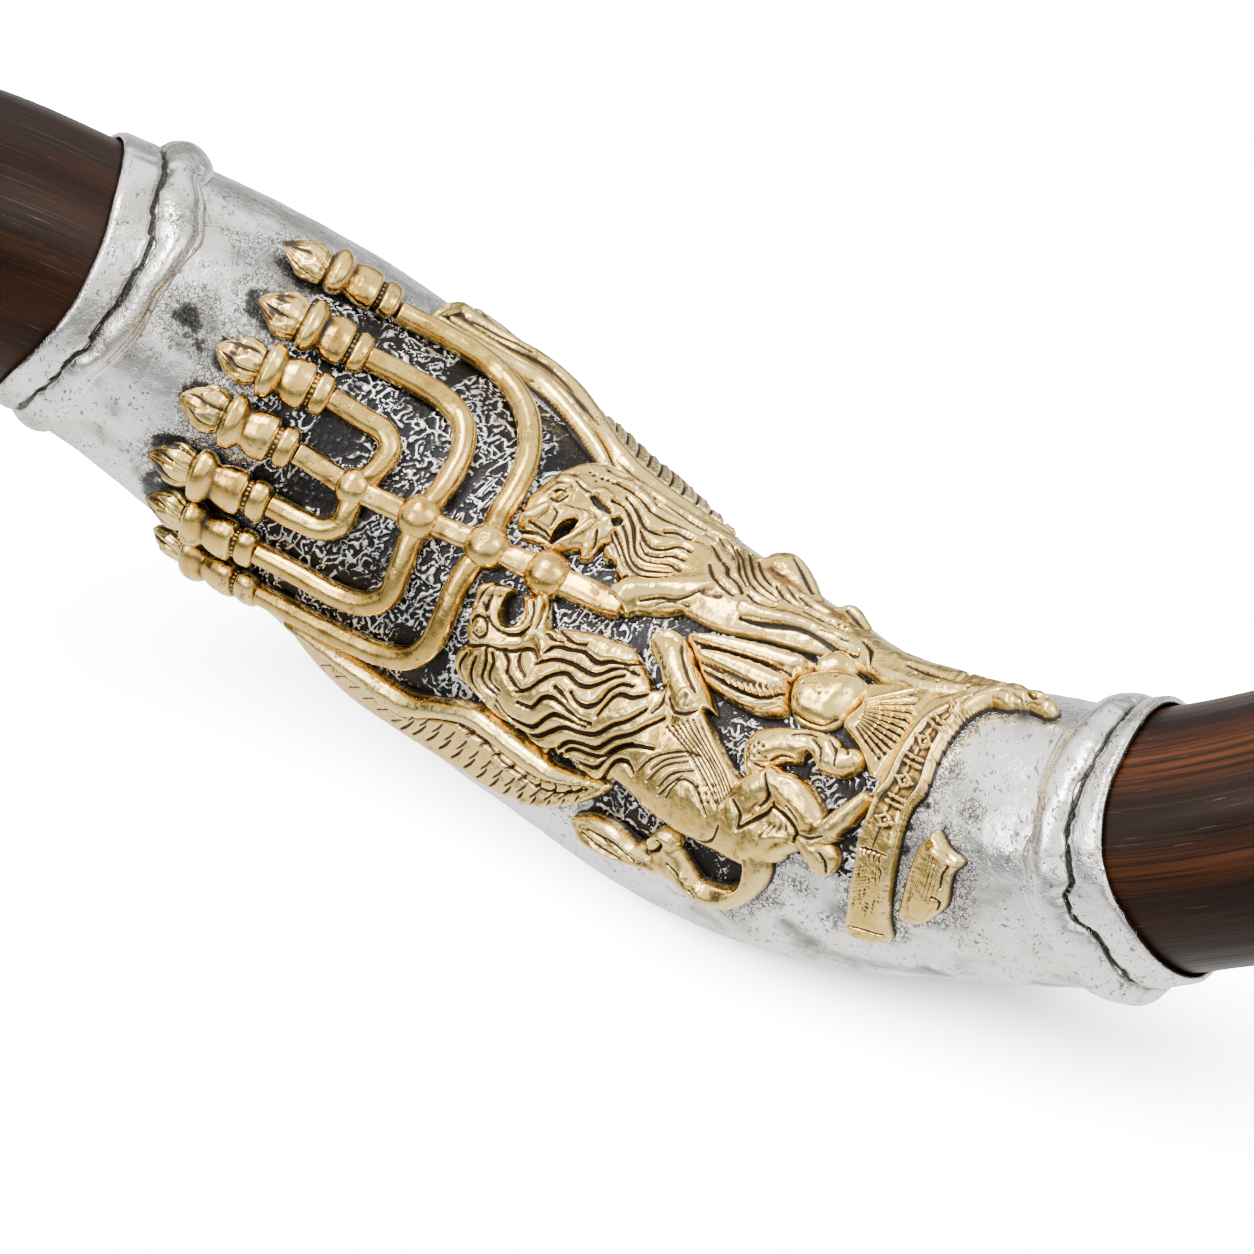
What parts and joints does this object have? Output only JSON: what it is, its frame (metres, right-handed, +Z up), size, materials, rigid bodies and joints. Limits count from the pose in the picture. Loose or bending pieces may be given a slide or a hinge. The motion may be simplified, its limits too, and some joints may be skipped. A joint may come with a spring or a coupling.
{
  "type": "shofar",
  "caption": "Long twisted kudu-horn shofar with a silver sleeve round its middle that carries gilt relief ornament of a branched lamp, lions, wings and a ribbon.",
  "frame": {"origin": "bottom centre of the bounding box, on the surface the shofar lies on at rest", "axes": "+X along the horn from the wide bell end to the mouthpiece, +Z up at rest, and the ornament faces -Y and up"},
  "size_m": [0.8664, 0.2346, 0.1542],
  "materials": {
    "horn": "satin",
    "pitch": "matte",
    "silver": "polished",
    "gilt": "polished"
  },
  "bodies": {
    "root": {"horn_body": "horn", "cement_bed": "pitch", "sleeve_shell": "silver", "bead_collar_bell": "silver", "bead_collar_mouth": "silver", "menorah_stem": "gilt", "arm_inner_lower": "gilt", "arm_inner_upper": "gilt", "arm_middle_lower": "gilt", "arm_middle_upper": "gilt", "arm_outer_lower": "gilt", "arm_outer_upper": "gilt", "cup_1": "gilt", "cup_2": "gilt", "cup_3": "gilt", "cup_4": "gilt", "cup_5": "gilt", "cup_6": "gilt", "cup_7": "gilt", "flame_1": "gilt", "flame_2": "gilt", "flame_3": "gilt", "flame_4": "gilt", "flame_5": "gilt", "flame_6": "gilt", "flame_7": "gilt", "base_flare": "gilt", "base_dome": "gilt", "base_foot": "gilt", "lion_upper": "gilt", "lion_lower": "gilt", "lion_lower_far_leg": "gilt", "tail_lower": "gilt", "wing_upper": "gilt", "wing_lower": "gilt", "banner": "gilt", "banner_tip": "gilt", "banner_flap": "gilt"}
  },
  "joints": []
}
